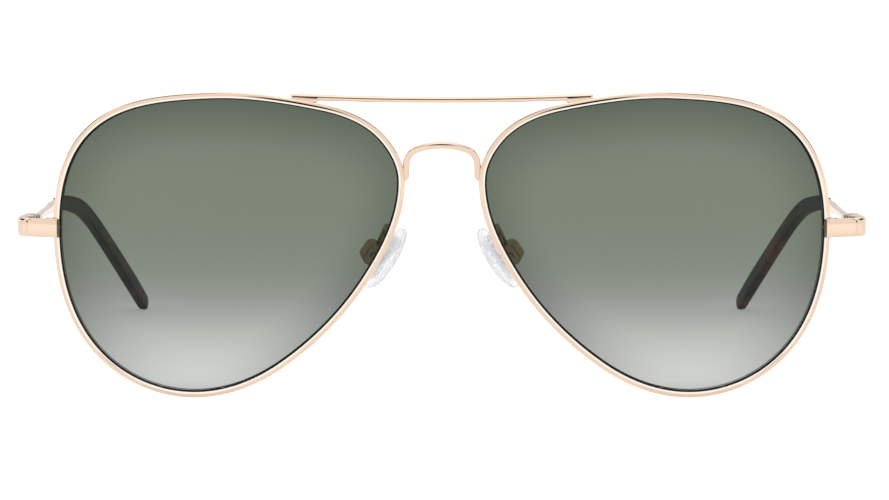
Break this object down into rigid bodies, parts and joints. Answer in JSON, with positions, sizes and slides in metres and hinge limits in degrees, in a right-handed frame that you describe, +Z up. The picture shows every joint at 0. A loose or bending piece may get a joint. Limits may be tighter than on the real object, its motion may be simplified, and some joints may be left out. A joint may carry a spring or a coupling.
{
  "type": "aviator sunglasses",
  "caption": "Metal aviator sunglasses with a brow bar over an arched bridge, teardrop gradient lenses, rocking nose pads and folding temples with tortoise tips.",
  "frame": {"origin": "on the table, on the line of symmetry, midway between the front of the lenses and the ends of the temple tips", "axes": "+Z up, -Y towards the front, +X towards the wearer's left"},
  "size_m": [0.145, 0.1444, 0.0527],
  "materials": {
    "metal": "polished pale rose gold plating",
    "lens": "polished, tinted grey-green at the top and fading to almost clear below",
    "tortoise": "polished dark tortoise",
    "silicone": "clear, satin",
    "pad_core": "frosted clear plastic",
    "screw": "turned steel"
  },
  "bodies": {
    "front": {"brow_bar": "metal", "bridge": "metal", "rim_left": "metal", "rim_right": "metal", "lens_left": "lens", "lens_right": "lens", "end_piece_left": "metal", "end_piece_right": "metal", "upper_closing_block_left": "metal", "upper_closing_block_right": "metal", "lower_closing_block_left": "metal", "lower_closing_block_right": "metal", "rim_screw_left": "screw", "rim_screw_right": "screw", "front_hinge_left": "metal", "front_hinge_right": "metal", "hinge_screw_left": "screw", "hinge_screw_right": "screw", "pad_arm_left": "metal", "pad_arm_right": "metal", "pad_box_left": "metal", "pad_box_right": "metal", "pad_screw_left": "screw", "pad_screw_right": "screw"},
    "temple_left_body": {"temple_left": "metal", "temple_tip_left": "tortoise", "temple_hinge_left": "metal"},
    "nose_pad_left_body": {"nose_pad_left": "silicone", "pad_insert_left": "pad_core"},
    "temple_right_body": {"temple_right": "metal", "temple_tip_right": "tortoise", "temple_hinge_right": "metal"},
    "nose_pad_right_body": {"nose_pad_right": "silicone", "pad_insert_right": "pad_core"}
  },
  "joints": [
    {"name": "temple_fold_left", "type": "hinge", "parent": "front", "child": "temple_left_body", "pos_m": [0.06975, -0.05692, 0.02916], "axis": [0, 0, 1], "range_deg": [0, 84]},
    {"name": "temple_fold_right", "type": "hinge", "parent": "front", "child": "temple_right_body", "pos_m": [-0.06975, -0.05692, 0.02916], "axis": [0, 0, -1], "range_deg": [0, 78]},
    {"name": "nose_pad_rock_left", "type": "hinge", "parent": "front", "child": "nose_pad_left_body", "pos_m": [0.01205, -0.06022, 0.02471], "axis": [0.2424, 0.9242, 0.295], "range_deg": [-8, 8]},
    {"name": "nose_pad_rock_right", "type": "hinge", "parent": "front", "child": "nose_pad_right_body", "pos_m": [-0.01205, -0.06022, 0.02471], "axis": [0.2424, -0.9242, -0.295], "range_deg": [-8, 8]}
  ]
}
